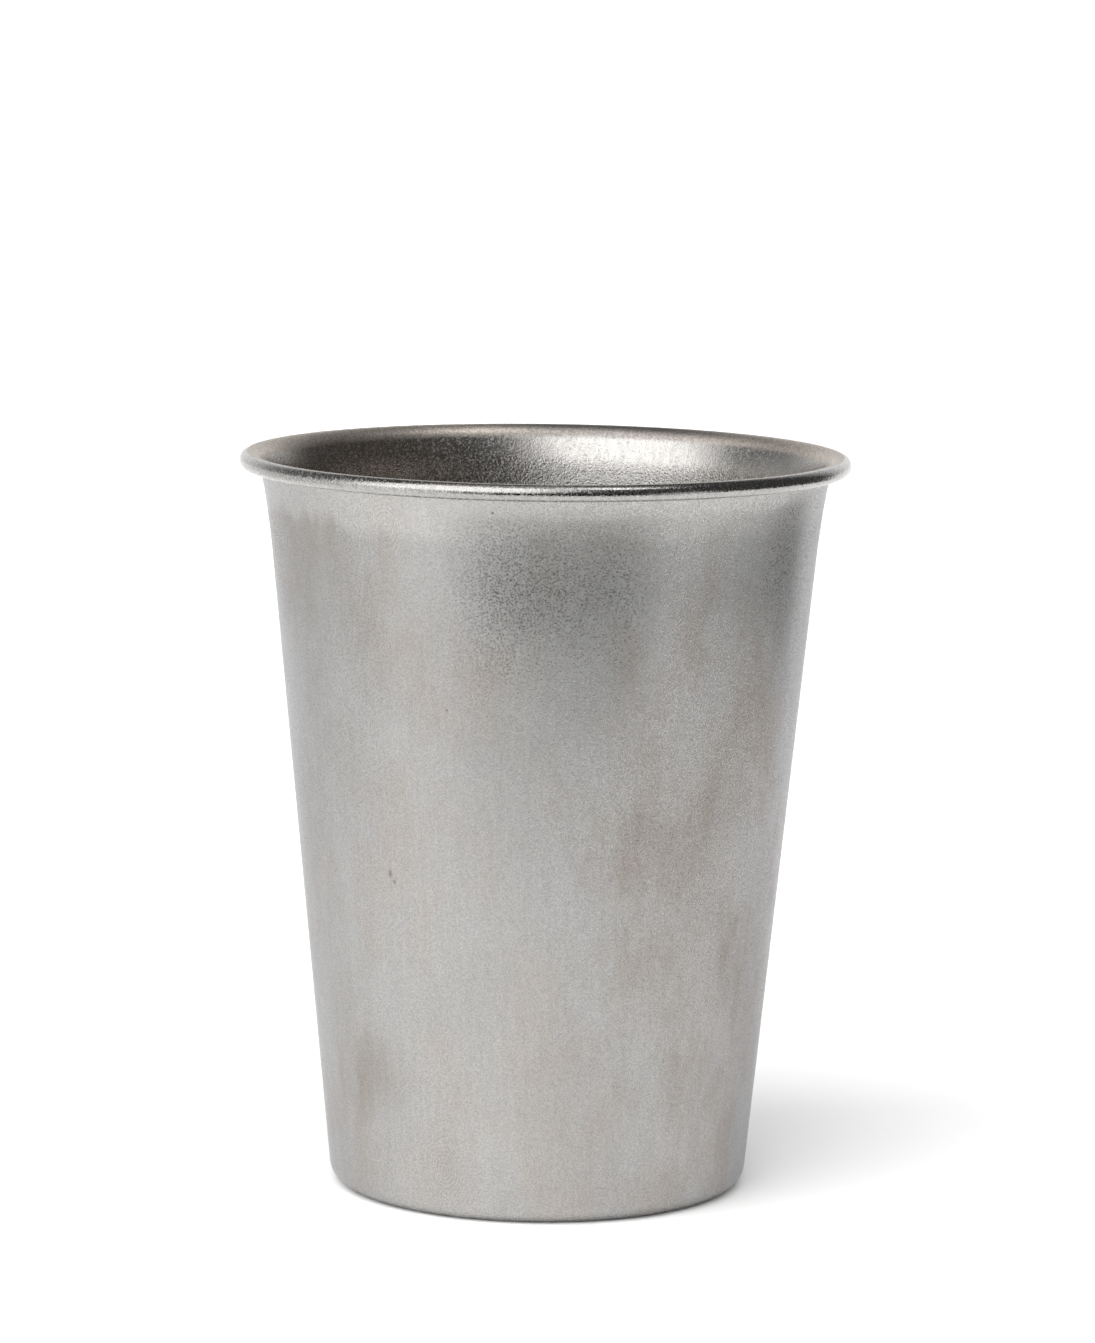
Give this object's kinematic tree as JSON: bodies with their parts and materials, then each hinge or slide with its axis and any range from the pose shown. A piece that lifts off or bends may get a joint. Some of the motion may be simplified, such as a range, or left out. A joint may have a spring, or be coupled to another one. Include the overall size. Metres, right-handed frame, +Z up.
{
  "type": "camping cup",
  "caption": "Tapered camping cup without a handle, drawn from one steel sheet, with a flared mouth, a rolled rim and a pushed-up base.",
  "frame": {"origin": "centre of the base on the surface that the cup stands on", "axes": "+Z up along the cup's axis, out of the mouth; the cup is round, so X and Y are free, with -Y towards the picture's camera"},
  "size_m": [0.085, 0.085, 0.103],
  "materials": {
    "steel_sheet": "matte stone-washed stainless steel, with a smoother rolled rim"
  },
  "bodies": {
    "root": {"cup_body": "steel_sheet"}
  },
  "joints": []
}
